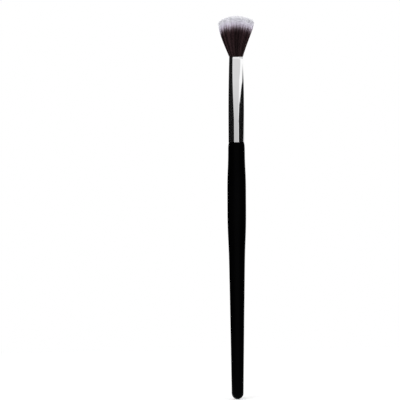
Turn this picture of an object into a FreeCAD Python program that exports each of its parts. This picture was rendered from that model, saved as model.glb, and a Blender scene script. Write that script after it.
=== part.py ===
import FreeCAD, Part
import math
import os

# Eyeshadow brush: a turned and lacquered wooden handle, a drawn metal ferrule that is round at the
# handle and pinched to an oval at the hair, and a flared tuft whose roots are bound and set in resin.
# Millimetres. The brush stands along Z with its hair up. The origin is the centre of the grip,
# the straight stretch at the belly of the handle.

# Handle, from the ferrule's lower rim down to the butt
SHOULDER_RADIUS = 3.42
SHOULDER_HEIGHT = 3.0
NECK_RADIUS = 3.75
NECK_LENGTH = 21.5
GRIP_RADIUS = 4.2
GRIP_LENGTH = 10.0
FLANK_LENGTH = 23.5
WAIST_RADIUS = 3.55
TAIL_LENGTH = 57.9
TAIL_HOLLOW = 0.04
BUTT_RADIUS = 2.68

# Ferrule: a round collar over the tenon, then the pinched stretch up to the mouth with its lip
FERRULE_RADIUS = 3.55
FERRULE_WALL = 0.3
COLLAR_LENGTH = 10.0
PINCH_LENGTH = 28.4
WIDTH_EXPONENT = 2.0
DEPTH_EXPONENT = 2.0
MOUTH_HALF_WIDTH = 3.06
MOUTH_HALF_DEPTH = 1.65
RIM_BEVEL = 0.12
LIP_HEIGHT = 0.6
LIP_BULGE_DEPTH = 0.08
LIP_BEVEL = 0.15

# Tenon on the handle, and the adhesive that keys into its grooves
GLUE_FILM = 0.1
GLUE_CAP = 0.6
TENON_SETBACK = 1.2
TENON_CHAMFER = 0.5
GROOVE_COUNT = 2
GROOVE_PITCH = 3.0
GROOVE_WIDTH = 0.8
GROOVE_DEPTH = 0.3

# Roots of the hair inside the ferrule
ROOT_DEPTH = 14.0
RESIN_BELOW_ROOTS = 3.0
RESIN_CUP_DEPTH = 2.5
THREAD_DIAMETER = 0.35
THREAD_TURNS = 6
HAIR_CLEARANCE = 0.05

# Tuft above the mouth
FLARE_LENGTH = 15.0
CROWN_HEIGHT = 3.7
CROWN_DEPTH_RATIO = 0.4
TUFT_HALF_WIDTH = 8.0
TIP_LENGTH = 3.0
TIP_STAGGER_HEIGHT = 0.5

# How the tuft is divided: one middle lock, then rings of 8, 16, 24 and so on
RING_COUNT = 3
LOCKS_PER_RING_STEP = 8
LOCK_FILL_RATIO = 0.94
TIP_FILL_RATIO = 0.35
GOLDEN_SHARE = (math.sqrt(5.0) - 1.0) / 2.0

# How finely the ovals and the flare are followed
PINCH_SECTIONS = 3
OVAL_ARCS = 22
FLARE_EXPONENT = 1.4
FLARE_SECTIONS = 3

# Levels on the axis
GRIP_TOP_Z = GRIP_LENGTH / 2.0
GRIP_BOTTOM_Z = -GRIP_LENGTH / 2.0
WAIST_Z = GRIP_BOTTOM_Z - FLANK_LENGTH
TAIL_Z = WAIST_Z - TAIL_LENGTH
RIM_Z = GRIP_TOP_Z + NECK_LENGTH
COLLAR_TOP_Z = RIM_Z + COLLAR_LENGTH
MOUTH_Z = COLLAR_TOP_Z + PINCH_LENGTH
TENON_TOP_Z = COLLAR_TOP_Z - TENON_SETBACK
ROOT_Z = MOUTH_Z - ROOT_DEPTH
RESIN_TOP_Z = ROOT_Z + RESIN_CUP_DEPTH
BINDING_Z = RESIN_TOP_Z + HAIR_CLEARANCE
BINDING_TOP_Z = BINDING_Z + THREAD_TURNS * THREAD_DIAMETER

# Sizes that follow from a fit
BORE_RADIUS = FERRULE_RADIUS - FERRULE_WALL
TENON_RADIUS = BORE_RADIUS - GLUE_FILM
BUNDLE_HALF_WIDTH = MOUTH_HALF_WIDTH - FERRULE_WALL - HAIR_CLEARANCE
BUNDLE_HALF_DEPTH = MOUTH_HALF_DEPTH - FERRULE_WALL - HAIR_CLEARANCE
ROOT_MARGIN = FERRULE_WALL + THREAD_DIAMETER + 2.0 * HAIR_CLEARANCE

UP = FreeCAD.Vector(0, 0, 1)
DOWN = FreeCAD.Vector(0, 0, -1)
ORIGIN = FreeCAD.Vector(0, 0, 0)


def at(radius, z):
    """Point of a turned profile, in the XZ plane."""
    return FreeCAD.Vector(radius, 0, z)


def line(start, end):
    return Part.LineSegment(start, end).toShape()


def tangent_arc(start, tangent, end):
    """Arc in the XZ plane that leaves the start along the tangent."""
    chord = end - start
    turn = math.atan2(chord.x * tangent.z - chord.z * tangent.x, chord.dot(tangent))
    rise = math.tan(turn / 2.0) / 2.0
    middle = (start + end) / 2.0 + FreeCAD.Vector(-chord.z, 0, chord.x) * rise
    return Part.Arc(start, middle, end).toShape()


def biarc(start, start_tangent, end, end_tangent):
    """Two arcs in the XZ plane that join two points along their unit tangents without a corner."""
    chord = end - start
    along = chord.dot(start_tangent + end_tangent)
    bend = 2.0 * (1.0 - start_tangent.dot(end_tangent)) * chord.dot(chord)
    reach = chord.dot(chord) / (along + math.sqrt(along ** 2 + bend))
    first = start + start_tangent * reach
    second = end - end_tangent * reach
    joint = (first + second) / 2.0
    return [tangent_arc(start, start_tangent, joint), tangent_arc(joint, second - first, end)]


def tenon_points():
    """Profile of the tenon from its end on the axis down to the shoulder's edge, with the glue grooves."""
    points = [
        at(0, TENON_TOP_Z),
        at(TENON_RADIUS - TENON_CHAMFER, TENON_TOP_Z),
        at(TENON_RADIUS, TENON_TOP_Z - TENON_CHAMFER),
    ]
    middle = (TENON_TOP_Z - TENON_CHAMFER + RIM_Z) / 2.0
    for index in range(GROOVE_COUNT):
        groove = middle + ((GROOVE_COUNT - 1) / 2.0 - index) * GROOVE_PITCH
        points.append(at(TENON_RADIUS, groove + GROOVE_WIDTH / 2.0))
        points.append(at(TENON_RADIUS - GROOVE_DEPTH, groove + GROOVE_WIDTH / 2.0))
        points.append(at(TENON_RADIUS - GROOVE_DEPTH, groove - GROOVE_WIDTH / 2.0))
        points.append(at(TENON_RADIUS, groove - GROOVE_WIDTH / 2.0))
    points.append(at(TENON_RADIUS, RIM_Z))
    points.append(at(SHOULDER_RADIUS, RIM_Z))
    return points


def make_handle():
    """Turned profile from the tenon down: shoulder, swelling neck, straight grip, flank, tail and butt."""
    points = tenon_points()
    shoulder = points[-1]
    neck = at(NECK_RADIUS, RIM_Z - SHOULDER_HEIGHT)
    grip_top = at(GRIP_RADIUS, GRIP_TOP_Z)
    grip_bottom = at(GRIP_RADIUS, GRIP_BOTTOM_Z)
    waist = at(WAIST_RADIUS, WAIST_Z)
    tail = at(BUTT_RADIUS, TAIL_Z)
    tail_arc = Part.Arc(waist, (waist + tail) / 2.0 - at(TAIL_HOLLOW, 0), tail)
    waist_tangent = tail_arc.tangent(tail_arc.FirstParameter)[0]
    tail_tangent = tail_arc.tangent(tail_arc.LastParameter)[0]
    butt_centre_z = TAIL_Z + BUTT_RADIUS * tail_tangent.x / tail_tangent.z
    butt = at(0, butt_centre_z + BUTT_RADIUS / tail_tangent.z)
    edges = [line(first, second) for first, second in zip(points, points[1:])]
    edges.append(tangent_arc(neck, UP, shoulder))
    edges += biarc(neck, DOWN, grip_top, DOWN)
    edges.append(line(grip_top, grip_bottom))
    edges += biarc(grip_bottom, DOWN, waist, waist_tangent)
    edges.append(tail_arc.toShape())
    edges.append(tangent_arc(tail, tail_tangent, butt))
    edges.append(line(butt, points[0]))
    face = Part.Face(Part.Wire(edges))
    return face.revolve(ORIGIN, UP, 360)


def oval_wire(half_width, half_depth, z):
    """Oval made of many short arcs, so that a loft through ovals has long narrow strips."""
    oval = Part.Ellipse(FreeCAD.Vector(0, 0, z), half_width, half_depth)
    step = 2.0 * math.pi / OVAL_ARCS
    arcs = [Part.ArcOfEllipse(oval, index * step, (index + 1) * step) for index in range(OVAL_ARCS)]
    return Part.Wire([arc.toShape() for arc in arcs])


def pinch_half_axes(z, depth):
    """Half width and half depth of the ferrule at a level, at a depth below its outside.

    The width eases into its taper above the collar. The depth eases out of the pinch at the mouth."""
    share = (z - COLLAR_TOP_Z) / PINCH_LENGTH
    narrowed = share ** WIDTH_EXPONENT
    flattened = 1.0 - (1.0 - share) ** DEPTH_EXPONENT
    half_width = FERRULE_RADIUS - (FERRULE_RADIUS - MOUTH_HALF_WIDTH) * narrowed
    half_depth = FERRULE_RADIUS - (FERRULE_RADIUS - MOUTH_HALF_DEPTH) * flattened
    return half_width - depth, half_depth - depth


def pinch_ovals(depth, top):
    """Ovals of the pinched stretch from the collar up to a level."""
    ovals = []
    for index in range(PINCH_SECTIONS):
        z = COLLAR_TOP_Z + (top - COLLAR_TOP_Z) * index / (PINCH_SECTIONS - 1)
        ovals.append(oval_wire(*pinch_half_axes(z, depth), z))
    return ovals


def lip_ovals(start):
    """Ovals of the small bead round the mouth, from the pinched stretch's last oval up to the mouth."""
    bead_width = MOUTH_HALF_WIDTH + LIP_BULGE_DEPTH
    bead_depth = MOUTH_HALF_DEPTH + LIP_BULGE_DEPTH
    return [
        start,
        oval_wire(bead_width, bead_depth, MOUTH_Z - LIP_HEIGHT + LIP_BEVEL),
        oval_wire(bead_width, bead_depth, MOUTH_Z - LIP_BEVEL),
        oval_wire(MOUTH_HALF_WIDTH, MOUTH_HALF_DEPTH, MOUTH_Z),
    ]


def make_collar():
    """Round tube over the tenon, bevelled at its lower rim."""
    tube = Part.makeCylinder(FERRULE_RADIUS, COLLAR_LENGTH, at(0, RIM_Z))
    rim = [edge for edge in tube.Edges if edge.BoundBox.ZMax < COLLAR_TOP_Z - RIM_BEVEL]
    bore = Part.makeCylinder(BORE_RADIUS, COLLAR_LENGTH, at(0, RIM_Z))
    return tube.makeChamfer(RIM_BEVEL, rim).cut(bore)


def make_pinch():
    """Thin-walled tube from the round collar to the oval mouth, made of its skins and two end rings."""
    outside = pinch_ovals(0.0, MOUTH_Z - LIP_HEIGHT)
    lip = lip_ovals(outside[-1])
    inside = pinch_ovals(FERRULE_WALL, MOUTH_Z)
    faces = Part.makeLoft(outside, False, False).Faces
    faces += Part.makeLoft(lip, False, True).Faces
    faces += Part.makeLoft(inside, False, False).Faces
    faces += [Part.Face([outside[0], inside[0]]), Part.Face([lip[-1], inside[-1]])]
    return Part.Solid(Part.Shell(faces))


def make_ferrule():
    return make_collar().fuse(make_pinch())


def make_tenon_glue(handle):
    """Film round the tenon and in its grooves, with a cap of squeezed-out adhesive over the tenon's end."""
    height = TENON_TOP_Z + GLUE_CAP - RIM_Z
    return Part.makeCylinder(BORE_RADIUS, height, at(0, RIM_Z)).cut(handle)


def root_scale(z):
    """Size of the bound roots next to the bundle in the mouth, with room for the thread inside the bore."""
    half_width, half_depth = pinch_half_axes(z, ROOT_MARGIN)
    return min(half_width / BUNDLE_HALF_WIDTH, half_depth / BUNDLE_HALF_DEPTH)


def root_oval(z, growth):
    """Oval round the bound roots, which taper evenly from their ends to the top of the binding."""
    share = (z - ROOT_Z) / (BINDING_TOP_Z - ROOT_Z)
    scale = root_scale(ROOT_Z) + (root_scale(BINDING_TOP_Z) - root_scale(ROOT_Z)) * share
    return oval_wire(BUNDLE_HALF_WIDTH * scale + growth, BUNDLE_HALF_DEPTH * scale + growth, z)


def root_form(bottom, top, growth):
    return Part.makeLoft([root_oval(bottom, growth), root_oval(top, growth)], True, True)


def make_knot_resin():
    """Plug that fills the bore below the roots and stands round their ends as a cup."""
    height = RESIN_TOP_Z - ROOT_Z + RESIN_BELOW_ROOTS
    reach = 2.0 * FERRULE_RADIUS
    corner = FreeCAD.Vector(-reach, -reach, RESIN_TOP_Z - height)
    slab = Part.makeBox(2.0 * reach, 2.0 * reach, height, corner)
    pinch_bore = Part.makeLoft(pinch_ovals(FERRULE_WALL, MOUTH_Z), True, False)
    return pinch_bore.common(slab).cut(root_form(ROOT_Z, BINDING_TOP_Z, HAIR_CLEARANCE))


def make_binding_thread():
    """Turns of thread laid side by side, as one band round the roots."""
    band = root_form(BINDING_Z, BINDING_TOP_Z, HAIR_CLEARANCE + THREAD_DIAMETER)
    return band.cut(root_form(BINDING_Z, BINDING_TOP_Z, HAIR_CLEARANCE))


def flare_scale(height):
    """Size of the tuft at a height over the mouth: it spreads from the mouth and ends upright."""
    share = min(height / FLARE_LENGTH, 1.0)
    return 1.0 + (TUFT_HALF_WIDTH / BUNDLE_HALF_WIDTH - 1.0) * (1.0 - (1.0 - share) ** FLARE_EXPONENT)


def polar(radius, angle):
    return FreeCAD.Vector(radius * math.cos(angle), radius * math.sin(angle), 0)


def ring_cells(ring):
    """Corners of each lock of a ring, in a unit circle, all locks with about one area."""
    unit = 1.0 / (2 * RING_COUNT + 1)
    if ring == 0:
        step = 2.0 * math.pi / LOCKS_PER_RING_STEP
        return [[polar(unit, index * step) for index in range(LOCKS_PER_RING_STEP)]]
    count = ring * LOCKS_PER_RING_STEP
    step = 2.0 * math.pi / count
    inner = (2 * ring - 1) * unit
    outer = (2 * ring + 1) * unit
    cells = []
    for index in range(count):
        start = index * step
        end = start + step
        cells.append([polar(inner, start), polar(outer, start), polar(outer, end), polar(inner, end)])
    return cells


def lock_section(corners, scale, fill, z):
    """Corners of a lock at a level, in the oval that every level of the tuft shares."""
    centre = sum(corners, FreeCAD.Vector()) / len(corners)
    points = []
    for corner in corners:
        place = (centre + (corner - centre) * fill) * scale
        points.append(FreeCAD.Vector(place.x * BUNDLE_HALF_WIDTH, place.y * BUNDLE_HALF_DEPTH, z))
    return points


def flat_face(points):
    return Part.Face(Part.makePolygon(points + points[:1]))


def make_lock(corners, stagger):
    """One lock of hair, from its bound root through the mouth to a tapered tip on the crown.

    The crown is a dome across the width of the tuft and flatter through its depth."""
    centre = sum(corners, FreeCAD.Vector()) / len(corners)
    fall = centre.x ** 2 + CROWN_DEPTH_RATIO * centre.y ** 2
    crown = FLARE_LENGTH + CROWN_HEIGHT * math.sqrt(1.0 - fall)
    tip = crown - TIP_STAGGER_HEIGHT * stagger
    sections = [lock_section(corners, root_scale(z), LOCK_FILL_RATIO, z) for z in (ROOT_Z, BINDING_TOP_Z)]
    for index in range(FLARE_SECTIONS + 1):
        height = (tip - TIP_LENGTH) * index / FLARE_SECTIONS
        sections.append(lock_section(corners, flare_scale(height), LOCK_FILL_RATIO, MOUTH_Z + height))
    sections.append(lock_section(corners, flare_scale(tip), TIP_FILL_RATIO, MOUTH_Z + tip))
    faces = [flat_face(sections[0]), flat_face(sections[-1])]
    for low, high in zip(sections, sections[1:]):
        for index in range(len(corners)):
            faces.append(flat_face([low[index - 1], low[index], high[index], high[index - 1]]))
    return Part.Solid(Part.Shell(faces))


def make_hair(rings):
    """Locks of the given rings as separate solids, with their tips at uneven heights."""
    cells = [corners for ring in rings for corners in ring_cells(ring)]
    locks = []
    for index, corners in enumerate(cells):
        locks.append(make_lock(corners, index * GOLDEN_SHARE % 1.0))
    return Part.makeCompound(locks)


def main():
    handle = make_handle()
    nodes = {
        "handle": handle,
        "tenon_glue": make_tenon_glue(handle),
        "ferrule": make_ferrule(),
        "knot_resin": make_knot_resin(),
        "binding_thread": make_binding_thread(),
        "hair_core": make_hair([0, 1]),
        "hair_middle_ring": make_hair(range(2, RING_COUNT)),
        "hair_outer_ring": make_hair([RING_COUNT]),
    }
    os.makedirs("parts", exist_ok=True)
    for name, shape in nodes.items():
        shape.exportStep(f"parts/{name}.step")


main()
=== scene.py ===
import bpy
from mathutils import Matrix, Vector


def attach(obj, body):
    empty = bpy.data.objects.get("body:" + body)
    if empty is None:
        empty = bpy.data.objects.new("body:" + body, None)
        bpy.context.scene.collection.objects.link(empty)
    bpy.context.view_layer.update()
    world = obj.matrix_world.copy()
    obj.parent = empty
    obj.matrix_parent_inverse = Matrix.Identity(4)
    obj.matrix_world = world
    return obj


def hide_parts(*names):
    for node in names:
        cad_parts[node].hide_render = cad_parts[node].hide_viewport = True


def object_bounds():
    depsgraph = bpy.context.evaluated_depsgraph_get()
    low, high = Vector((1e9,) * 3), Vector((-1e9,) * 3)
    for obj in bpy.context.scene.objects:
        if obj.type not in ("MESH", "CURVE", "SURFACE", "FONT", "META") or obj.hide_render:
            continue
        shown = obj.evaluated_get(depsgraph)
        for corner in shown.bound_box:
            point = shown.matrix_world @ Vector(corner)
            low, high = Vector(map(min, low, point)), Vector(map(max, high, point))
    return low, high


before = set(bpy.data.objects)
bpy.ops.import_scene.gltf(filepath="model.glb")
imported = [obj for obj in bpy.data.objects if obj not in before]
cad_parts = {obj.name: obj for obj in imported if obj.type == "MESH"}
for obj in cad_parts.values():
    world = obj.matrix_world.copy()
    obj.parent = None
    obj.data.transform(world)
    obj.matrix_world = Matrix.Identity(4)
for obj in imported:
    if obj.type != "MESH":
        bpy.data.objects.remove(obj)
cad_box = [list(corner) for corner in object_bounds()]

import math

import bpy
import numpy as np

# Eyeshadow brush: smooth handle and ferrule, a tuft of separate filaments, and the studio round them.
# Lengths are in millimetres, in the part's frame, unless a comment says otherwise. Meshes are in metres.
MM = 0.001

# Handle, as in the part's source
SHOULDER_RADIUS = 3.42
SHOULDER_HEIGHT = 3.0
NECK_RADIUS = 3.75
NECK_LENGTH = 21.5
GRIP_RADIUS = 4.2
GRIP_LENGTH = 10.0
FLANK_LENGTH = 23.5
WAIST_RADIUS = 3.55
TAIL_LENGTH = 57.9
TAIL_HOLLOW = 0.04
BUTT_RADIUS = 2.68

# Ferrule, as in the part's source, apart from its rim and lip, which are rounded here and not bevelled
FERRULE_RADIUS = 3.55
FERRULE_WALL = 0.3
COLLAR_LENGTH = 10.0
PINCH_LENGTH = 28.4
WIDTH_EXPONENT = 2.0
DEPTH_EXPONENT = 2.0
MOUTH_HALF_WIDTH = 3.06
MOUTH_HALF_DEPTH = 1.65
RIM_ROUNDING = 0.04
LIP_HEIGHT = 0.6
LIP_BULGE = 0.05
LIP_ROUNDING = 0.12

# Tenon inside the ferrule
GLUE_FILM = 0.1
TENON_SETBACK = 1.2
TENON_CHAMFER = 0.5
GROOVE_PITCH = 3.0
GROOVE_WIDTH = 0.8
GROOVE_DEPTH = 0.3

# Roots of the hair inside the ferrule
ROOT_DEPTH = 14.0
RESIN_CUP_DEPTH = 2.5
THREAD_DIAMETER = 0.35
THREAD_TURNS = 6
HAIR_CLEARANCE = 0.05

# Tuft above the mouth. Its flare and crown differ a little from the part's source, for loose hair.
FLARE_LENGTH = 15.0
FLARE_EXPONENT = 1.25
TUFT_HALF_WIDTH = 8.0
LOOSE_SPREAD = 0.15
CROWN_RIM = 0.27
CROWN_HEIGHT = 3.3
CROWN_EXPONENT = 0.6
CROWN_DEPTH_RATIO = 0.4
CROWN_TILT = 0.3
BOW = 0.25
BOW_END_SHARE = 0.5

# Swelling of the tuft where the hair leaves the mouth
SWELL_WIDTH = 0.4
SWELL_START = 0.06
SWELL_END = 2.8
SWELL_TOP = 0.15

# Levels on the axis
GRIP_TOP_Z = GRIP_LENGTH / 2.0
GRIP_BOTTOM_Z = -GRIP_LENGTH / 2.0
WAIST_Z = GRIP_BOTTOM_Z - FLANK_LENGTH
TAIL_Z = WAIST_Z - TAIL_LENGTH
RIM_Z = GRIP_TOP_Z + NECK_LENGTH
COLLAR_TOP_Z = RIM_Z + COLLAR_LENGTH
MOUTH_Z = COLLAR_TOP_Z + PINCH_LENGTH
TENON_TOP_Z = COLLAR_TOP_Z - TENON_SETBACK
ROOT_Z = MOUTH_Z - ROOT_DEPTH
BINDING_TOP_Z = ROOT_Z + RESIN_CUP_DEPTH + HAIR_CLEARANCE + THREAD_TURNS * THREAD_DIAMETER

# Sizes that follow from a fit
TENON_RADIUS = FERRULE_RADIUS - FERRULE_WALL - GLUE_FILM
BUNDLE_HALF_WIDTH = MOUTH_HALF_WIDTH - FERRULE_WALL - HAIR_CLEARANCE
BUNDLE_HALF_DEPTH = MOUTH_HALF_DEPTH - FERRULE_WALL - HAIR_CLEARANCE
ROOT_MARGIN = FERRULE_WALL + THREAD_DIAMETER + 2.0 * HAIR_CLEARANCE

# How finely the smooth pieces are divided
ROUND_STEPS = 96
ARC_STEPS = 14
COLLAR_STEPS = 8
PINCH_STEPS = 44
LIP_STEPS = 10
BORE_STEPS = 8
ROUNDING_STEPS = 4
SHARP_ANGLE = math.radians(32)
STRAIGHT_ANGLE = 1e-9

# Rings of the tuft: piece, CAD node, filaments, clumps, inner and outer edge in the unit disc, and seed
CORE_EDGE = 3.0 / 7.0
MIDDLE_EDGE = 5.0 / 7.0
TUFT_RINGS = [
    ("tuft_core", "hair_core", 1200, 32, 0.0, CORE_EDGE, 11),
    ("tuft_middle", "hair_middle_ring", 2000, 76, CORE_EDGE, MIDDLE_EDGE, 12),
    ("tuft_outer", "hair_outer_ring", 3000, 136, MIDDLE_EDGE, 1.0, 13),
]

# Shape of a filament
FILAMENT_SIDES = 3
FLARE_SECTIONS = 7
SECTION_EXPONENT = 1.2
FILAMENT_ROOT_RADIUS = 0.034
FILAMENT_BODY_RADIUS = 0.046
FILAMENT_TIP_RADIUS = 0.026
THICK_SHARE = 0.5
TAPER_SHARE = 0.85
TAPER_EXPONENT = 1.5
RADIUS_SPREAD = (0.8, 1.15)

# How the filaments lie: places, jitter and lean are in the unit disc, pulls are shares of the way
GOLDEN_STEP = 3.0 - math.sqrt(5.0)
PLACE_TURN = 0.7
PLACE_JITTER = 0.008
PLACE_LIMIT = 0.995
CLUMP_TURN = 0.3
CLUMP_JITTER = 0.02
CLUMP_PULL = (0.03, 0.28)
FILAMENT_PULL = (0.6, 1.0)
PULL_EXPONENT = 1.5
LEAN = 0.012
TIP_LOSS = 0.22
TIP_LOSS_LIMIT = 1.4
CLUMP_TIP_LOSS = 0.15

# How far the white reaches down: by chance, at the two edges, between clumps and between locks
WHITE_SHIFT = 0.08
CLUMP_WHITE = 0.1
FILAMENT_WHITE = 0.2
LEFT_EDGE_WHITE = 1.6
LEFT_EDGE_EXPONENT = 30.0
RIGHT_EDGE_WHITE = 0.25
RIGHT_EDGE_EXPONENT = 6.0
CLUMP_SPIKE = 0.5
LOCKS = 44
LOCK_SEED = 2
LOCK_JITTER = 0.3
LOCK_SPIKE = 1.0
LOCK_SPIKE_SPREAD = (0.6, 1.3)

# Map that holds the filaments' colours: across it the kind of filament, up it the way to the tip
MAP_NAME = "OFBake"
MAP_LENGTH = 34.0
WHITE_LEVELS = 32
WHITE_RANGE = 6.0
SHADES = 4
KINDS = WHITE_LEVELS * SHADES
STRIP_START = 0.2
STRIP_END = 0.8
CAP_ON_MAP = 0.004

# Colours of the hair at a distance from the tip, and how much the kinds differ there
HAIR_COLOUR_LENGTH = 20.0
HAIR_COLOURS = [
    (0.0, (0.76, 0.76, 0.79)),
    (1.6, (0.76, 0.745, 0.81)),
    (3.1, (0.61, 0.565, 0.66)),
    (3.94, (0.36, 0.303, 0.36)),
    (5.0, (0.078, 0.052, 0.06)),
    (6.4, (0.0238, 0.0119, 0.0135)),
    (16.0, (0.0197, 0.0103, 0.0111)),
    (20.0, (0.0131, 0.0074, 0.0078)),
]
HAIR_CONTRAST = (0.1, 0.8)
HAIR_CONTRAST_REACH = (3.0, 6.5)
HAIR_LEVEL = 0.87
HAIR_MOTTLE = 0.26
HAIR_CHANCE = 0.5

# Colours of the other pieces; the plating's go up the ferrule as shares of its length, the plating's own
# colour with painted shade that darkens it towards the collar
LACQUER_COLOURS = [(0.3, (0.0002, 0.0002, 0.0003)), (0.7, (0.0006, 0.0006, 0.0007))]
PLATING_AND_SHADE_COLOURS = [
    (0.0, (0.74, 0.74, 0.745)),
    (0.27, (0.8, 0.8, 0.805)),
    (0.72, (0.965, 0.965, 0.97)),
    (1.0, (0.97, 0.97, 0.97)),
]
GLUE_COLOURS = [(0.3, (0.6, 0.47, 0.24)), (0.7, (0.78, 0.66, 0.4))]
RESIN_COLOURS = [(0.3, (0.66, 0.5, 0.22)), (0.7, (0.82, 0.68, 0.38))]
# Thread colours: the thread's own colour, darker where its turns meet as painted shade in the creases
THREAD_AND_CREASE_SHADE_COLOURS = [(0.0, (0.42, 0.39, 0.33)), (0.6, (0.82, 0.8, 0.74))]
THREAD_WAVES = 142.0

# Floor: its share of plain white by the brush, the distances over which that rises to 1, and half its width
FLOOR_COLOURS = [(0.3, (0.86, 0.86, 0.86)), (0.7, (0.88, 0.88, 0.88))]
FLOOR_WHITE = 0.12
SHADOW_REACH = (50.0, 400.0)
FLOOR_REACH = 6000.0

# Black flags beside the brush: name, side, outline of (y, z), and the levels between which it fades out
FLAG_COLOURS = [(0.3, (0.004, 0.004, 0.004)), (0.7, (0.012, 0.012, 0.012))]
FLAG_DISTANCE = 60.0
FLAG_FRONT = -88.0
FLAG_JOINT = -15.0
FLAG_FOOT = -89.0
FLAGS = [
    ("flag_right", 1.0, [
        (FLAG_FRONT, FLAG_FOOT), (FLAG_JOINT, FLAG_FOOT), (FLAG_JOINT, 59.5), (-50.0, 59.5), (-62.0, 60.3),
        (-70.0, 61.5), (-78.0, 63.4), (FLAG_FRONT, 66.2),
    ], 67.8, 68.0),
    ("flag_right_rear", 1.0, [
        (FLAG_JOINT, 13.0), (123.0, 59.0), (123.0, 67.0), (FLAG_JOINT, 67.0),
    ], 58.5, 67.0),
    ("flag_right_low", 1.0, [
        (FLAG_JOINT, FLAG_FOOT), (70.0, FLAG_FOOT), (70.0, 27.0), (FLAG_JOINT, 27.0),
    ], 26.8, 27.0),
    ("flag_left", -1.0, [
        (FLAG_FRONT, FLAG_FOOT), (400.0, FLAG_FOOT), (400.0, 260.0), (FLAG_FRONT, 260.0),
    ], 240.0, 260.0),
]

# World as reflections see it, in degrees. A grey card stands in front of the brush, and the room round it is
# white, and greyer behind the brush. Most lists go round to the right from the camera, but the card's right
# edge and the greys behind go up with the height.
CARD_GREYS = [(-38, 0.72), (-28, 0.72), (-20, 0.68), (24, 0.68)]
CARD_LEFT_EDGE = [(-42, 1.0), (-39, 0.0)]
CARD_RIGHT_EDGE = [(1.6, 27), (2.2, 31), (3.3, 51), (4.6, 47), (7.4, 31), (16, 26)]
CARD_RIGHT_LIMIT = 60.0
CARD_SOFTNESS = (-4, 2)
BEHIND = [(-110, 1.0), (-90, 0.0), (90, 0.0), (110, 1.0)]
FAR_BEHIND = [(-150, 1.0), (-135, 0.0), (135, 0.0), (150, 1.0)]
BEHIND_GREYS = [(2.2, 0.75), (3.2, 1.0), (5.0, 1.0), (10.0, 0.78), (16.0, 0.75)]
HEIGHT_LIMIT = 20.0
FAR_GREY = 0.75
LIGHT_GREY = 0.76

# Lamps: name, place in metres and power in watts; the diameter is in metres
LAMP_SIZE = 0.9
LAMPS = [
    ("key_lamp", (-0.5, -1.0, 0.9), 11.0),
    ("fill_lamp", (0.8, -0.8, 0.4), 4.9),
    ("rear_lamp", (0.3, 1.0, 0.9), 6.0),
]

# Camera, with the range that it sees in metres
CAMERA_PLACE = (-16.52, -1200.0, 0.625)
CAMERA_ROLL = math.radians(0.28)
SENSOR_WIDTH = 36.0
FOCAL_LENGTH = 240.0
CLIP_RANGE = (0.01, 30.0)


def turned(vector, angle):
    cosine, sine = math.cos(angle), math.sin(angle)
    return np.array([vector[0] * cosine - vector[1] * sine, vector[0] * sine + vector[1] * cosine])


def arc(start, tangent, end, steps=ARC_STEPS):
    """Points after the start on the arc that leaves it along the tangent, in a turned profile's plane."""
    chord = end - start
    half = math.atan2(tangent[0] * chord[1] - tangent[1] * chord[0], float(tangent @ chord))
    length = float(np.linalg.norm(chord))
    unit = tangent / np.linalg.norm(tangent)
    points = []
    for step in range(1, steps + 1):
        angle = half * step / steps
        reach = length * (step / steps if abs(half) < STRAIGHT_ANGLE else math.sin(angle) / math.sin(half))
        points.append(start + turned(unit, angle) * reach)
    return points


def biarc(start, start_tangent, end, end_tangent):
    """Points of two arcs that join two points along their unit tangents without a corner."""
    chord = end - start
    along = float(chord @ (start_tangent + end_tangent))
    bend = 2.0 * (1.0 - float(start_tangent @ end_tangent)) * float(chord @ chord)
    reach = float(chord @ chord) / (along + math.sqrt(along ** 2 + bend))
    first = start + start_tangent * reach
    second = end - end_tangent * reach
    joint = (first + second) / 2.0
    return arc(start, start_tangent, joint) + arc(joint, second - first, end)


def tenon_profile():
    """Radius and level from the tenon's end over its two grooves to the handle's shoulder."""
    points = [(0.0, TENON_TOP_Z), (TENON_RADIUS - TENON_CHAMFER, TENON_TOP_Z)]
    points.append((TENON_RADIUS, TENON_TOP_Z - TENON_CHAMFER))
    middle = (TENON_TOP_Z - TENON_CHAMFER + RIM_Z) / 2.0
    for level in (middle + GROOVE_PITCH / 2.0, middle - GROOVE_PITCH / 2.0):
        for depth, side in ((0.0, 1), (GROOVE_DEPTH, 1), (GROOVE_DEPTH, -1), (0.0, -1)):
            points.append((TENON_RADIUS - depth, level + side * GROOVE_WIDTH / 2.0))
    points += [(TENON_RADIUS, RIM_Z), (SHOULDER_RADIUS, RIM_Z)]
    return [np.array(point) for point in points]


def handle_profile():
    """Radius and level from the tenon's end over the belly to the butt, as the part's source has it."""
    down = np.array([0.0, -1.0])
    points = tenon_profile()
    shoulder = points[-1]
    neck = np.array([NECK_RADIUS, RIM_Z - SHOULDER_HEIGHT])
    waist = np.array([WAIST_RADIUS, WAIST_Z])
    tail = np.array([BUTT_RADIUS, TAIL_Z])
    span = tail - waist
    tilt = 2.0 * math.atan2(2.0 * TAIL_HOLLOW, float(np.linalg.norm(span)))
    waist_tangent = turned(span / np.linalg.norm(span), -tilt)
    tail_tangent = turned(span / np.linalg.norm(span), tilt)
    butt_centre = TAIL_Z + BUTT_RADIUS * tail_tangent[0] / tail_tangent[1]
    butt = np.array([0.0, butt_centre + BUTT_RADIUS / tail_tangent[1]])
    points += arc(neck, -down, shoulder)[-2::-1] + [neck]
    points += biarc(neck, down, np.array([GRIP_RADIUS, GRIP_TOP_Z]), down)
    grip_bottom = np.array([GRIP_RADIUS, GRIP_BOTTOM_Z])
    points += [grip_bottom] + biarc(grip_bottom, down, waist, waist_tangent)
    points += arc(waist, waist_tangent, tail, 2 * ARC_STEPS)
    points += arc(tail, tail_tangent, butt)
    points[-1][0] = 0.0
    return points


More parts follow.
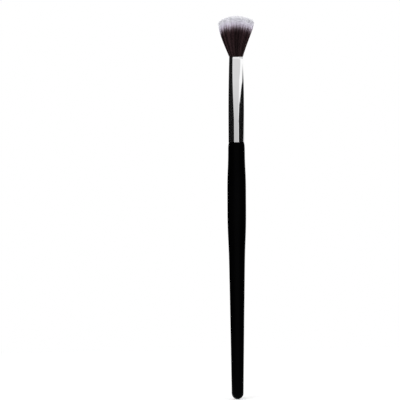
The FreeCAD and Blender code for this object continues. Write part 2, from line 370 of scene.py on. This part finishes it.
def pinch_half_axes(z, depth):
    """Half width and half depth of the ferrule at a level, at a depth below its outside."""
    share = (z - COLLAR_TOP_Z) / PINCH_LENGTH
    narrowed = share ** WIDTH_EXPONENT
    flattened = 1.0 - (1.0 - share) ** DEPTH_EXPONENT
    half_width = FERRULE_RADIUS - (FERRULE_RADIUS - MOUTH_HALF_WIDTH) * narrowed
    half_depth = FERRULE_RADIUS - (FERRULE_RADIUS - MOUTH_HALF_DEPTH) * flattened
    return half_width - depth, half_depth - depth


def rounding(radius, steps):
    """Offsets inward and along the axis on a quarter round, from the end face to the outside."""
    angles = [math.pi / 2.0 * step / steps for step in range(steps + 1)]
    return [(radius * (1.0 - math.sin(angle)), radius * (1.0 - math.cos(angle))) for angle in angles]


def ferrule_rings():
    """Half width, half depth and level of each ring, up the outside, over the lip and down the bore."""
    rings = []
    for inward, along in rounding(RIM_ROUNDING, ROUNDING_STEPS):
        rings.append((FERRULE_RADIUS - inward, FERRULE_RADIUS - inward, RIM_Z + along))
    collar_start = RIM_Z + 2.0 * RIM_ROUNDING
    for step in range(COLLAR_STEPS):
        z = collar_start + (COLLAR_TOP_Z - collar_start) * step / COLLAR_STEPS
        rings.append((FERRULE_RADIUS, FERRULE_RADIUS, z))
    for step in range(PINCH_STEPS):
        z = COLLAR_TOP_Z + (MOUTH_Z - LIP_HEIGHT - COLLAR_TOP_Z) * step / PINCH_STEPS
        rings.append((*pinch_half_axes(z, 0.0), z))
    for step in range(LIP_STEPS):
        share = step / LIP_STEPS
        z = MOUTH_Z - LIP_HEIGHT + (LIP_HEIGHT - LIP_ROUNDING) * share
        rings.append((*pinch_half_axes(z, -LIP_BULGE * math.sin(math.pi * share) ** 2), z))
    for inward, along in reversed(rounding(LIP_ROUNDING, ROUNDING_STEPS)):
        z = MOUTH_Z - along
        rings.append((*pinch_half_axes(z, inward), z))
    for step in range(BORE_STEPS):
        z = MOUTH_Z + (COLLAR_TOP_Z - MOUTH_Z) * step / BORE_STEPS
        rings.append((*pinch_half_axes(z, FERRULE_WALL), z))
    bore = FERRULE_RADIUS - FERRULE_WALL
    return rings + [(bore, bore, COLLAR_TOP_Z), (bore, bore, RIM_Z)]


def finished(name, vertices, faces):
    """A smooth piece made of points in millimetres, linked to the scene."""
    mesh = bpy.data.meshes.new(name)
    mesh.from_pydata((np.asarray(vertices) * MM).tolist(), [], faces)
    mesh.update()
    mesh.shade_smooth()
    piece = bpy.data.objects.new(name, mesh)
    bpy.context.scene.collection.objects.link(piece)
    return piece


def ring_faces(first, second, steps):
    """Quads between two rings of points, given the index of each ring's first point."""
    return [
        (first + index, first + (index + 1) % steps, second + (index + 1) % steps, second + index)
        for index in range(steps)
    ]


def make_handle():
    """Closed lathe of the handle's profile, with its two ends on the axis."""
    profile = handle_profile()
    angles = np.arange(ROUND_STEPS) * 2.0 * math.pi / ROUND_STEPS
    vertices = [(0.0, 0.0, profile[0][1])]
    faces = []
    for radius, z in profile[1:-1]:
        vertices += [(radius * math.cos(angle), radius * math.sin(angle), z) for angle in angles]
    rings = len(profile) - 2
    for ring in range(rings - 1):
        faces += ring_faces(1 + (ring + 1) * ROUND_STEPS, 1 + ring * ROUND_STEPS, ROUND_STEPS)
    vertices.append((0.0, 0.0, profile[-1][1]))
    last = 1 + (rings - 1) * ROUND_STEPS
    for index in range(ROUND_STEPS):
        after = (index + 1) % ROUND_STEPS
        faces.append((0, 1 + index, 1 + after))
        faces.append((last + after, last + index, len(vertices) - 1))
    piece = finished("handle_lacquered", vertices, faces)
    piece.data.set_sharp_from_angle(angle=SHARP_ANGLE)
    return piece


def make_ferrule():
    """Closed thin wall that goes from round to oval, with a bead round its mouth."""
    rings = ferrule_rings()
    angles = np.arange(ROUND_STEPS) * 2.0 * math.pi / ROUND_STEPS
    vertices = []
    faces = []
    for half_width, half_depth, z in rings:
        vertices += [(half_width * math.cos(angle), half_depth * math.sin(angle), z) for angle in angles]
    for ring in range(len(rings)):
        after = (ring + 1) % len(rings)
        faces += ring_faces(ring * ROUND_STEPS, after * ROUND_STEPS, ROUND_STEPS)
    piece = finished("ferrule_polished", vertices, faces)
    piece.data.set_sharp_from_angle(angle=SHARP_ANGLE)
    return piece


def flare_scale(height):
    """Size of the tuft at heights over the mouth, next to the bundle in the mouth."""
    share = np.clip(height / FLARE_LENGTH, 0.0, 1.0)
    reach = TUFT_HALF_WIDTH + LOOSE_SPREAD - BUNDLE_HALF_WIDTH
    flare = reach * (1.0 - (1.0 - share) ** FLARE_EXPONENT)
    swell = SWELL_WIDTH * (1.0 - np.exp(-height / SWELL_START)) * np.exp(-height / SWELL_END)
    return 1.0 + (flare + swell) / BUNDLE_HALF_WIDTH


def root_scale(z):
    """Size of the bundle at a level inside the ferrule, next to the bundle in the mouth."""
    half_width, half_depth = pinch_half_axes(z, ROOT_MARGIN)
    return min(half_width / BUNDLE_HALF_WIDTH, half_depth / BUNDLE_HALF_DEPTH)


def spread(count, inner, outer, turn):
    """Points laid evenly on a ring of the unit disc, in the pattern of sunflower seeds."""
    index = np.arange(count)
    radius = np.sqrt(inner ** 2 + (outer ** 2 - inner ** 2) * (index + 0.5) / count)
    angle = index * math.pi * GOLDEN_STEP + turn
    return np.stack([radius * np.cos(angle), radius * np.sin(angle)], 1)


def crown(place):
    """Height of the hair's end over the mouth for places in the unit disc."""
    inside = np.clip(1.0 - place[:, 0] ** 2 - CROWN_DEPTH_RATIO * place[:, 1] ** 2, 0.0, 1.0)
    dome = CROWN_RIM + CROWN_HEIGHT * inside ** CROWN_EXPONENT
    return FLARE_LENGTH + dome + CROWN_TILT * place[:, 0] ** 3


def filament_sections(tip):
    """Height over the mouth, size of the tuft and share of the free length at each filament's sections."""
    count = len(tip)
    heights = [np.full(count, z - MOUTH_Z) for z in (ROOT_Z, BINDING_TOP_Z, MOUTH_Z)]
    scales = [np.full(count, scale) for scale in (root_scale(ROOT_Z), root_scale(BINDING_TOP_Z), 1.0)]
    shares = [np.zeros(count) for _ in heights]
    for section in range(FLARE_SECTIONS):
        height = SWELL_TOP + (tip - SWELL_TOP) * (section / (FLARE_SECTIONS - 1)) ** SECTION_EXPONENT
        heights.append(height)
        scales.append(flare_scale(height))
        shares.append(height / tip)
    return [np.stack(values, 1) for values in (heights, scales, shares)]


def filament_radius(shares):
    """Radius of a filament, which thickens from its root and tapers to its tip."""
    thickened = np.minimum(shares / THICK_SHARE, 1.0)
    tapered = np.clip((shares - TAPER_SHARE) / (1.0 - TAPER_SHARE), 0.0, 1.0) ** TAPER_EXPONENT
    body = FILAMENT_ROOT_RADIUS + (FILAMENT_BODY_RADIUS - FILAMENT_ROOT_RADIUS) * thickened
    return body + (FILAMENT_TIP_RADIUS - FILAMENT_BODY_RADIUS) * tapered


def edge_white(place):
    """How much further the white reaches at the tuft's left and right edges."""
    left = place[:, 0] < 0.0
    length = np.where(left, LEFT_EDGE_WHITE, RIGHT_EDGE_WHITE)
    return length * np.abs(place[:, 0]) ** np.where(left, LEFT_EDGE_EXPONENT, RIGHT_EDGE_EXPONENT)


def clump_spikes(place, middle, spacing):
    """How much further the white reaches at the sides of a clump than in its middle."""
    outward = middle / np.linalg.norm(middle, axis=1)[:, None]
    aside = np.abs(place[:, 0] * outward[:, 1] - place[:, 1] * outward[:, 0]) / spacing
    return CLUMP_SPIKE * (np.minimum(aside, 1.0) - 0.5)


def lock_spikes(place):
    """How much further the white reaches between two locks than in the middle of one."""
    rng = np.random.default_rng(LOCK_SEED)
    lock_angle = (np.arange(LOCKS) + rng.uniform(-LOCK_JITTER, LOCK_JITTER, LOCKS)) * 2.0 * math.pi / LOCKS
    length = LOCK_SPIKE * rng.uniform(*LOCK_SPIKE_SPREAD, LOCKS)
    angle = np.arctan2(place[:, 1], place[:, 0])
    away = np.abs((angle[:, None] - lock_angle[None, :] + math.pi) % (2.0 * math.pi) - math.pi)
    lock = np.argmin(away, 1)
    apart = np.minimum(away.min(1) * LOCKS / math.pi, 1.0)
    return length[lock] * (apart - 0.5)


def make_tuft(name, count, clumps, inner, outer, seed):
    """Filaments from their roots in the ferrule to thin tips on the crown, gathered in small clumps."""
    rng = np.random.default_rng(seed)
    place = spread(count, inner, outer, PLACE_TURN * seed) + rng.normal(0.0, PLACE_JITTER, (count, 2))
    place /= np.maximum(1.0, np.linalg.norm(place, axis=1) / PLACE_LIMIT)[:, None]
    middle = spread(clumps, inner, outer, CLUMP_TURN * seed) + rng.normal(0.0, CLUMP_JITTER, (clumps, 2))
    clump = np.argmin(((place[:, None, :] - middle[None, :, :]) ** 2).sum(2), 1)
    pull = rng.uniform(*CLUMP_PULL, clumps)[clump] * rng.uniform(*FILAMENT_PULL, count)
    lean = rng.normal(0.0, LEAN, (clumps, 2))[clump] + rng.normal(0.0, LEAN, (count, 2))
    tip = crown(place) - rng.exponential(TIP_LOSS, count).clip(0.0, TIP_LOSS_LIMIT)
    tip = tip - rng.uniform(0.0, CLUMP_TIP_LOSS, clumps)[clump]

    heights, scales, shares = filament_sections(tip)
    pulled = (middle[clump] - place)[:, None, :] * (pull[:, None] * shares ** PULL_EXPONENT)[:, :, None]
    drawn = place[:, None, :] + pulled + lean[:, None, :] * (shares ** 2)[:, :, None]
    rise = np.clip(heights / FLARE_LENGTH, 0.0, 1.0)
    bow = BOW * (BOW_END_SHARE * rise ** 3 - np.sin(math.pi * rise))
    centre_x = drawn[:, :, 0] * scales * BUNDLE_HALF_WIDTH + bow
    centre_y = drawn[:, :, 1] * scales * BUNDLE_HALF_DEPTH
    radius = filament_radius(shares) * rng.uniform(*RADIUS_SPREAD, count)[:, None]
    first_corner = rng.uniform(0.0, 2.0 * math.pi, count)
    corner = first_corner[:, None] + np.arange(FILAMENT_SIDES) * 2.0 * math.pi / FILAMENT_SIDES
    vertices = np.empty((count, heights.shape[1], FILAMENT_SIDES, 3))
    vertices[..., 0] = centre_x[:, :, None] + radius[:, :, None] * np.cos(corner)[:, None, :]
    vertices[..., 1] = centre_y[:, :, None] + radius[:, :, None] * np.sin(corner)[:, None, :]
    vertices[..., 2] = (MOUTH_Z + heights)[:, :, None]

    spacing = math.sqrt((outer ** 2 - inner ** 2) / clumps)
    white = rng.normal(0.0, CLUMP_WHITE, clumps)[clump] + rng.normal(0.0, FILAMENT_WHITE, count)
    white = white + edge_white(place) + WHITE_SHIFT
    white = white + clump_spikes(place, middle[clump], spacing) + lock_spikes(place)
    level = np.clip(((white / WHITE_RANGE + 0.5) * WHITE_LEVELS).astype(int), 0, WHITE_LEVELS - 1)
    kind = level * SHADES + rng.integers(0, SHADES, clumps)[clump]
    up_map = np.clip(1.0 - (tip[:, None] - heights) / MAP_LENGTH, 0.0, 1.0)
    return filament_mesh(name, vertices, kind, up_map)


def filament_mesh(name, vertices, kind, up_map):
    """Closed prisms along the filaments, each with its own strip of the map."""
    count, sections, sides = vertices.shape[:3]
    base = np.arange(count)[:, None, None] * sections * sides
    lower = base + np.arange(sections - 1)[None, :, None] * sides
    side = np.arange(sides)[None, None, :]
    after = (side + 1) % sides
    upper = lower + sides
    quads = np.stack([lower + side, lower + after, upper + after, upper + side], 3).reshape(-1, 4)
    roots = base[:, :, 0] + np.arange(sides)[::-1]
    tips = base[:, :, 0] + (sections - 1) * sides + np.arange(sides)
    faces = quads.tolist() + roots.tolist() + tips.tolist()
    piece = finished(name, vertices.reshape(-1, 3), faces)

    strip = (kind[:, None, None, None] + np.array([STRIP_START, STRIP_END, STRIP_END, STRIP_START])) / KINDS
    low, high = up_map[:, :-1], up_map[:, 1:]
    quad_v = np.stack([low, low, high, high], 2)[:, :, None, :]
    quad_v = np.broadcast_to(quad_v, (count, sections - 1, sides, 4))
    quad_map = np.stack(np.broadcast_arrays(strip, quad_v), 4)
    cap_u = (kind[:, None] + np.linspace(STRIP_START, STRIP_END, sides)) / KINDS
    cap_v = np.array([0.0, CAP_ON_MAP, 0.0])
    root_map = np.stack([cap_u, np.clip(up_map[:, :1] + cap_v, 0.0, 1.0)], 2)
    tip_map = np.stack([cap_u, np.clip(up_map[:, -1:] - cap_v, 0.0, 1.0)], 2)
    layer = piece.data.uv_layers.new(name=MAP_NAME)
    flat = np.concatenate([quad_map.reshape(-1), root_map.reshape(-1), tip_map.reshape(-1)])
    layer.uv.foreach_set("vector", flat.astype(np.float32))
    return piece


def new_material(name):
    material = bpy.data.materials.new(name)
    material.use_nodes = True
    return material, material.node_tree, material.node_tree.nodes["Principled BSDF"]


def node(tree, kind, inputs=None, **settings):
    """A shader node with its settings, its plain values, and links from other nodes' outputs."""
    made = tree.nodes.new(kind)
    for name, value in settings.items():
        setattr(made, name, value)
    for key, value in (inputs or {}).items():
        if isinstance(value, bpy.types.NodeSocket):
            tree.links.new(value, made.inputs[key])
        else:
            made.inputs[key].default_value = value
    return made


def math_node(tree, operation, *values):
    return node(tree, "ShaderNodeMath", dict(enumerate(values)), operation=operation).outputs[0]


def ranged(tree, value, to_range=(0.0, 1.0), from_range=(0.0, 1.0)):
    """A value carried from one range to another and kept inside it."""
    inputs = {"Value": value, "From Min": from_range[0], "From Max": from_range[1]}
    inputs.update({"To Min": to_range[0], "To Max": to_range[1]})
    return node(tree, "ShaderNodeMapRange", inputs).outputs[0]


def scaled(tree, colour, level):
    return node(tree, "ShaderNodeVectorMath", {0: colour, "Scale": level}, operation="SCALE").outputs[0]


def mixed(tree, factor, first, second):
    """Mix of two colours, each a plain one or another node's output."""
    inputs = {0: factor, "A": first, "B": second}
    return node(tree, "ShaderNodeMix", inputs, data_type="RGBA").outputs["Result"]


def ramp(tree, factor, stops):
    """Colour ramp through (position, colour) stops."""
    made = node(tree, "ShaderNodeValToRGB", {"Fac": factor})
    elements = made.color_ramp.elements
    while len(elements) < len(stops):
        elements.new(0.5)
    for element, (position, colour) in zip(elements, stops):
        element.position = position
        element.color = (*colour, 1.0)
    return made.outputs["Color"]


def object_place(tree):
    return node(tree, "ShaderNodeTexCoord").outputs["Object"]


def noise(tree, scale, along=1.0, detail=3.0):
    """Noise over the object, in metres, drawn out along the brush where `along` is below 1."""
    inputs = {"Vector": object_place(tree), "Scale": (1.0, 1.0, along)}
    mapped = node(tree, "ShaderNodeMapping", inputs).outputs[0]
    inputs = {"Vector": mapped, "Scale": scale, "Detail": detail}
    return node(tree, "ShaderNodeTexNoise", inputs).outputs["Fac"]


def bump(tree, height, strength, distance, below=None):
    """Normal with a bump whose full height is the distance, in metres."""
    inputs = {"Height": height, "Strength": strength, "Distance": distance}
    if below is not None:
        inputs["Normal"] = below
    return node(tree, "ShaderNodeBump", inputs).outputs["Normal"]


def feed(tree, shader, **sources):
    """Links outputs to the shader's sockets, whose names have underscores for spaces here."""
    for name, source in sources.items():
        tree.links.new(source, shader.inputs[name.replace("_", " ")])


def lacquer_material():
    """Black satin lacquer: a trace of orange peel, and the turned wood's grain just felt through it."""
    material, tree, shader = new_material("black_lacquer")
    peel = noise(tree, scale=900.0, along=0.7)
    grain = noise(tree, scale=2600.0, along=0.03)
    haze = noise(tree, scale=120.0, along=0.4, detail=5.0)
    felt = bump(tree, grain, strength=0.12, distance=0.00002)
    feed(tree, shader, Base_Color=ramp(tree, haze, LACQUER_COLOURS),
         Roughness=ranged(tree, haze, (0.34, 0.46)),
         Normal=bump(tree, peel, strength=0.1, distance=0.00004, below=felt))
    shader.inputs["Specular IOR Level"].default_value = 0.02
    return material


def metal_material():
    """Polished plating on drawn metal: hairlines along the tube, a slight cloud in the polish, and painted
    shade that darkens it towards the collar.
    """
    material, tree, shader = new_material("polished_plating")
    hairlines = noise(tree, scale=5200.0, along=0.012, detail=2.0)
    cloud = noise(tree, scale=260.0, along=0.5, detail=4.0)
    level = node(tree, "ShaderNodeSeparateXYZ", {"Vector": object_place(tree)}).outputs["Z"]
    share = ranged(tree, level, from_range=(RIM_Z * MM, MOUTH_Z * MM))
    # plating colour up the ferrule, darker towards the collar: painted shade standing in for the dimmer
    # reflection lower down
    plating_and_shade = ramp(tree, share, PLATING_AND_SHADE_COLOURS)
    feed(tree, shader, Base_Color=scaled(tree, plating_and_shade, ranged(tree, cloud, (0.97, 1.03))),
         Roughness=ranged(tree, hairlines, (0.025, 0.05)),
         Normal=bump(tree, hairlines, strength=0.006, distance=0.000004))
    shader.inputs["Metallic"].default_value = 1.0
    return material


def hair_material():
    """Dark brown filaments whose ends turn lilac grey and then white, each kind at its own length."""
    material, tree, shader = new_material("two_tone_filaments")
    place = node(tree, "ShaderNodeUVMap", uv_map=MAP_NAME).outputs["UV"]
    split = node(tree, "ShaderNodeSeparateXYZ", {"Vector": place}).outputs
    kind = math_node(tree, "FLOOR", math_node(tree, "MULTIPLY", split["X"], float(KINDS)))
    from_tip = math_node(tree, "MULTIPLY", math_node(tree, "SUBTRACT", 1.0, split["Y"]), MAP_LENGTH)
    white_level = math_node(tree, "FLOOR", math_node(tree, "DIVIDE", kind, float(SHADES)))
    shade = math_node(tree, "SUBTRACT", kind, math_node(tree, "MULTIPLY", white_level, float(SHADES)))
    whiter = math_node(tree, "SUBTRACT", math_node(tree, "DIVIDE", white_level, float(WHITE_LEVELS)), 0.5)
    whiter = math_node(tree, "MULTIPLY", whiter, WHITE_RANGE)
    shifted = math_node(tree, "SUBTRACT", from_tip, whiter)
    stops = [(length / HAIR_COLOUR_LENGTH, colour) for length, colour in HAIR_COLOURS]
    colour = ramp(tree, math_node(tree, "DIVIDE", shifted, HAIR_COLOUR_LENGTH), stops)

    along = node(tree, "ShaderNodeCombineXYZ", {"X": kind, "Y": from_tip}).outputs[0]
    mottle = node(tree, "ShaderNodeTexNoise", {"Vector": along, "Scale": 1.3, "Detail": 2.0}).outputs["Fac"]
    chance = node(tree, "ShaderNodeTexWhiteNoise", {"W": kind}, noise_dimensions="1D").outputs["Value"]
    contrast = ranged(tree, shifted, HAIR_CONTRAST, HAIR_CONTRAST_REACH)
    uneven = math_node(tree, "SUBTRACT", math_node(tree, "DIVIDE", shade, SHADES - 1.0), 0.5)
    chance = math_node(tree, "SUBTRACT", chance, 0.5)
    uneven = math_node(tree, "MULTIPLY_ADD", chance, HAIR_CHANCE, uneven)
    level = math_node(tree, "MULTIPLY_ADD", uneven, contrast, HAIR_LEVEL)
    level = math_node(tree, "ADD", level, math_node(tree, "MULTIPLY", mottle, HAIR_MOTTLE))
    feed(tree, shader, Base_Color=scaled(tree, colour, level), Roughness=ranged(tree, mottle, (0.42, 0.62)))
    shader.inputs["Specular IOR Level"].default_value = 0.08
    return material


def inner_material(name, colours, scale, roughness):
    """Plain material with a mottle, for the pieces inside the ferrule."""
    material, tree, shader = new_material(name)
    mottle = noise(tree, scale, detail=4.0)
    feed(tree, shader, Base_Color=ramp(tree, mottle, colours),
         Normal=bump(tree, mottle, strength=0.3, distance=0.00005))
    shader.inputs["Roughness"].default_value = roughness
    return material


def thread_material():
    """Turns of waxed thread side by side, with painted shade in the creases between turns."""
    material, tree, shader = new_material("waxed_thread")
    inputs = {"Vector": object_place(tree), "Scale": THREAD_WAVES, "Distortion": 0.4}
    turns_and_crease_shade = node(tree, "ShaderNodeTexWave", inputs, wave_type="BANDS", bands_direction="Z").outputs["Fac"]
    # thread colour darker at the edges of each turn: painted shade in the creases between turns
    feed(tree, shader, Base_Color=ramp(tree, turns_and_crease_shade, THREAD_AND_CREASE_SHADE_COLOURS),
         Normal=bump(tree, turns_and_crease_shade, strength=0.6, distance=0.00012))
    shader.inputs["Roughness"].default_value = 0.7
    return material


def dress(node_name, material):
    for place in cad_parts[node_name].material_slots:
        place.material = material


def join_up(piece, material, slot, *nodes):
    """Gives a new piece its material and its body, and hides the CAD nodes that it stands for."""
    piece.data.materials.append(material)
    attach(piece, "root")
    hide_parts(*nodes)


def build_brush():
    join_up(make_handle(), lacquer_material(), "lacquered_wood", "handle")
    join_up(make_ferrule(), metal_material(), "plated_metal", "ferrule")
    hair = hair_material()
    for name, node_name, count, clumps, inner, outer, seed in TUFT_RINGS:
        join_up(make_tuft(name, count, clumps, inner, outer, seed), hair, "hair", node_name)
    dress("tenon_glue", inner_material("cured_glue", GLUE_COLOURS, scale=700.0, roughness=0.35))
    dress("knot_resin", inner_material("cured_resin", RESIN_COLOURS, scale=400.0, roughness=0.2))
    dress("binding_thread", thread_material())


def plane(name, corners, material):
    """Flat piece of the stage with corners in millimetres."""
    mesh = bpy.data.meshes.new(name)
    points = [tuple(value * MM for value in corner) for corner in corners]
    mesh.from_pydata(points, [], [tuple(range(len(points)))])
    mesh.materials.append(material)
    made = bpy.data.objects.new(name, mesh)
    bpy.context.scene.collection.objects.link(made)
    return made


def show_mix(tree, factor, first, second):
    """Sends the mix of two shaders to the material's surface."""
    both = node(tree, "ShaderNodeMixShader", {0: factor, 1: first.outputs[0], 2: second.outputs[0]})
    tree.links.new(both.outputs[0], tree.nodes["Material Output"].inputs["Surface"])


def make_floor():
    """White floor under the butt, lifted to white for the camera, with the brush's shadow kept."""
    material, tree, shader = new_material("white_floor")
    feed(tree, shader, Base_Color=ramp(tree, noise(tree, scale=40.0), FLOOR_COLOURS))
    shader.inputs["Roughness"].default_value = 0.6
    shader.inputs["Specular IOR Level"].default_value = 0.1
    path = node(tree, "ShaderNodeLightPath").outputs
    seen = math_node(tree, "MAXIMUM", path["Is Glossy Ray"], path["Is Transmission Ray"])
    seen = math_node(tree, "MAXIMUM", path["Is Camera Ray"], seen)
    inputs = {0: object_place(tree), 1: (1.0, 1.0, 0.0)}
    flat = node(tree, "ShaderNodeVectorMath", inputs, operation="MULTIPLY").outputs[0]
    away = node(tree, "ShaderNodeVectorMath", {0: flat}, operation="LENGTH").outputs["Value"]
    plain = ranged(tree, away, (FLOOR_WHITE, 1.0), [reach * MM for reach in SHADOW_REACH])
    white = node(tree, "ShaderNodeEmission", {"Strength": 1.0})
    show_mix(tree, math_node(tree, "MULTIPLY", seen, plain), shader, white)
    z = cad_box[0][2] / MM
    corners = [(x * FLOOR_REACH, y * FLOOR_REACH, z) for x, y in ((-1, -1), (1, -1), (1, 1), (-1, 1))]
    plane("floor", corners, material)


def make_flag(name, side, outline, solid_top, top):
    """Black studio flag beside the brush, which only shows in reflections and fades out towards its top."""
    material, tree, shader = new_material(name)
    feed(tree, shader, Base_Color=ramp(tree, noise(tree, scale=30.0), FLAG_COLOURS))
    shader.inputs["Roughness"].default_value = 0.9
    shader.inputs["Specular IOR Level"].default_value = 0.0
    level = node(tree, "ShaderNodeSeparateXYZ", {"Vector": object_place(tree)}).outputs["Z"]
    fade = ranged(tree, level, from_range=(solid_top * MM, top * MM))
    show_mix(tree, fade, shader, node(tree, "ShaderNodeBsdfTransparent"))
    flag = plane(name, [(side * FLAG_DISTANCE, y, z) for y, z in outline], material)
    flag.visible_camera = False
    flag.visible_diffuse = False
    flag.visible_transmission = False
    flag.visible_shadow = False


def grey(value):
    return (value, value, value)


def round_stops(stops):
    """Ramp stops from (degrees to the right of the camera, grey)."""
    return [(degrees / 360.0 + 0.5, grey(value)) for degrees, value in stops]


def make_world():
    """White for the camera, soft light for the pieces, and in reflections a grey card and a pale room."""
    world = bpy.data.worlds.new("studio")
    bpy.context.scene.world = world
    world.use_nodes = True
    tree = world.node_tree
    way = node(tree, "ShaderNodeTexCoord").outputs["Generated"]
    split = node(tree, "ShaderNodeSeparateXYZ", {"Vector": way}).outputs
    azimuth = math_node(tree, "ARCTAN2", split["X"], math_node(tree, "MULTIPLY", split["Y"], -1.0))
    share = math_node(tree, "ADD", math_node(tree, "DIVIDE", azimuth, 2.0 * math.pi), 0.5)
    elevation = math_node(tree, "ARCSINE", split["Z"])
    height = math_node(tree, "DIVIDE", elevation, math.radians(HEIGHT_LIMIT))

    edge_stops = [(up / HEIGHT_LIMIT, grey(right / CARD_RIGHT_LIMIT)) for up, right in CARD_RIGHT_EDGE]
    limit = math_node(tree, "MULTIPLY", ramp(tree, height, edge_stops), math.radians(CARD_RIGHT_LIMIT))
    past_limit = math_node(tree, "SUBTRACT", azimuth, limit)
    right = ranged(tree, past_limit, from_range=[math.radians(degrees) for degrees in CARD_SOFTNESS])
    left = ramp(tree, share, round_stops(CARD_LEFT_EDGE))
    beside = math_node(tree, "MAXIMUM", left, right)
    card = ramp(tree, share, round_stops(CARD_GREYS))

    white = (*grey(1.0), 1.0)
    behind_stops = [(up / HEIGHT_LIMIT, grey(value)) for up, value in BEHIND_GREYS]
    far = ramp(tree, share, round_stops(FAR_BEHIND))
    rear = mixed(tree, far, ramp(tree, height, behind_stops), (*grey(FAR_GREY), 1.0))
    around = mixed(tree, ramp(tree, share, round_stops(BEHIND)), white, rear)
    seen = mixed(tree, beside, card, around)
    path = node(tree, "ShaderNodeLightPath").outputs
    mirrored = math_node(tree, "MAXIMUM", path["Is Glossy Ray"], path["Is Transmission Ray"])
    lit = mixed(tree, mirrored, (*grey(LIGHT_GREY), 1.0), seen)
    background = tree.nodes["Background"]
    tree.links.new(mixed(tree, path["Is Camera Ray"], lit, white), background.inputs["Color"])
    background.inputs["Strength"].default_value = 1.0


def make_lamp(name, place, power):
    """Large soft lamp aimed at the middle of the brush, left out of reflections."""
    data = bpy.data.lights.new(name, "AREA")
    data.shape = "DISK"
    data.size = LAMP_SIZE
    data.energy = power
    lamp = bpy.data.objects.new(name, data)
    bpy.context.scene.collection.objects.link(lamp)
    lamp.location = place
    lamp.rotation_mode = "QUATERNION"
    lamp.rotation_quaternion = (-lamp.location).to_track_quat("-Z", "Y")
    lamp.visible_glossy = False
    lamp.visible_camera = False


def make_camera():
    """Long lens straight in front, with the brush right of the middle and the photograph's slight lean."""
    data = bpy.data.cameras.new("camera")
    data.sensor_width = SENSOR_WIDTH
    data.lens = FOCAL_LENGTH
    data.clip_start, data.clip_end = CLIP_RANGE
    camera = bpy.data.objects.new("camera", data)
    bpy.context.scene.collection.objects.link(camera)
    camera.location = [value * MM for value in CAMERA_PLACE]
    camera.rotation_euler = (math.pi / 2.0, CAMERA_ROLL, 0.0)
    bpy.context.scene.camera = camera


build_brush()
make_floor()
for flag_values in FLAGS:
    make_flag(*flag_values)
make_world()
for lamp_values in LAMPS:
    make_lamp(*lamp_values)
make_camera()
bpy.context.scene.view_settings.view_transform = "Standard"
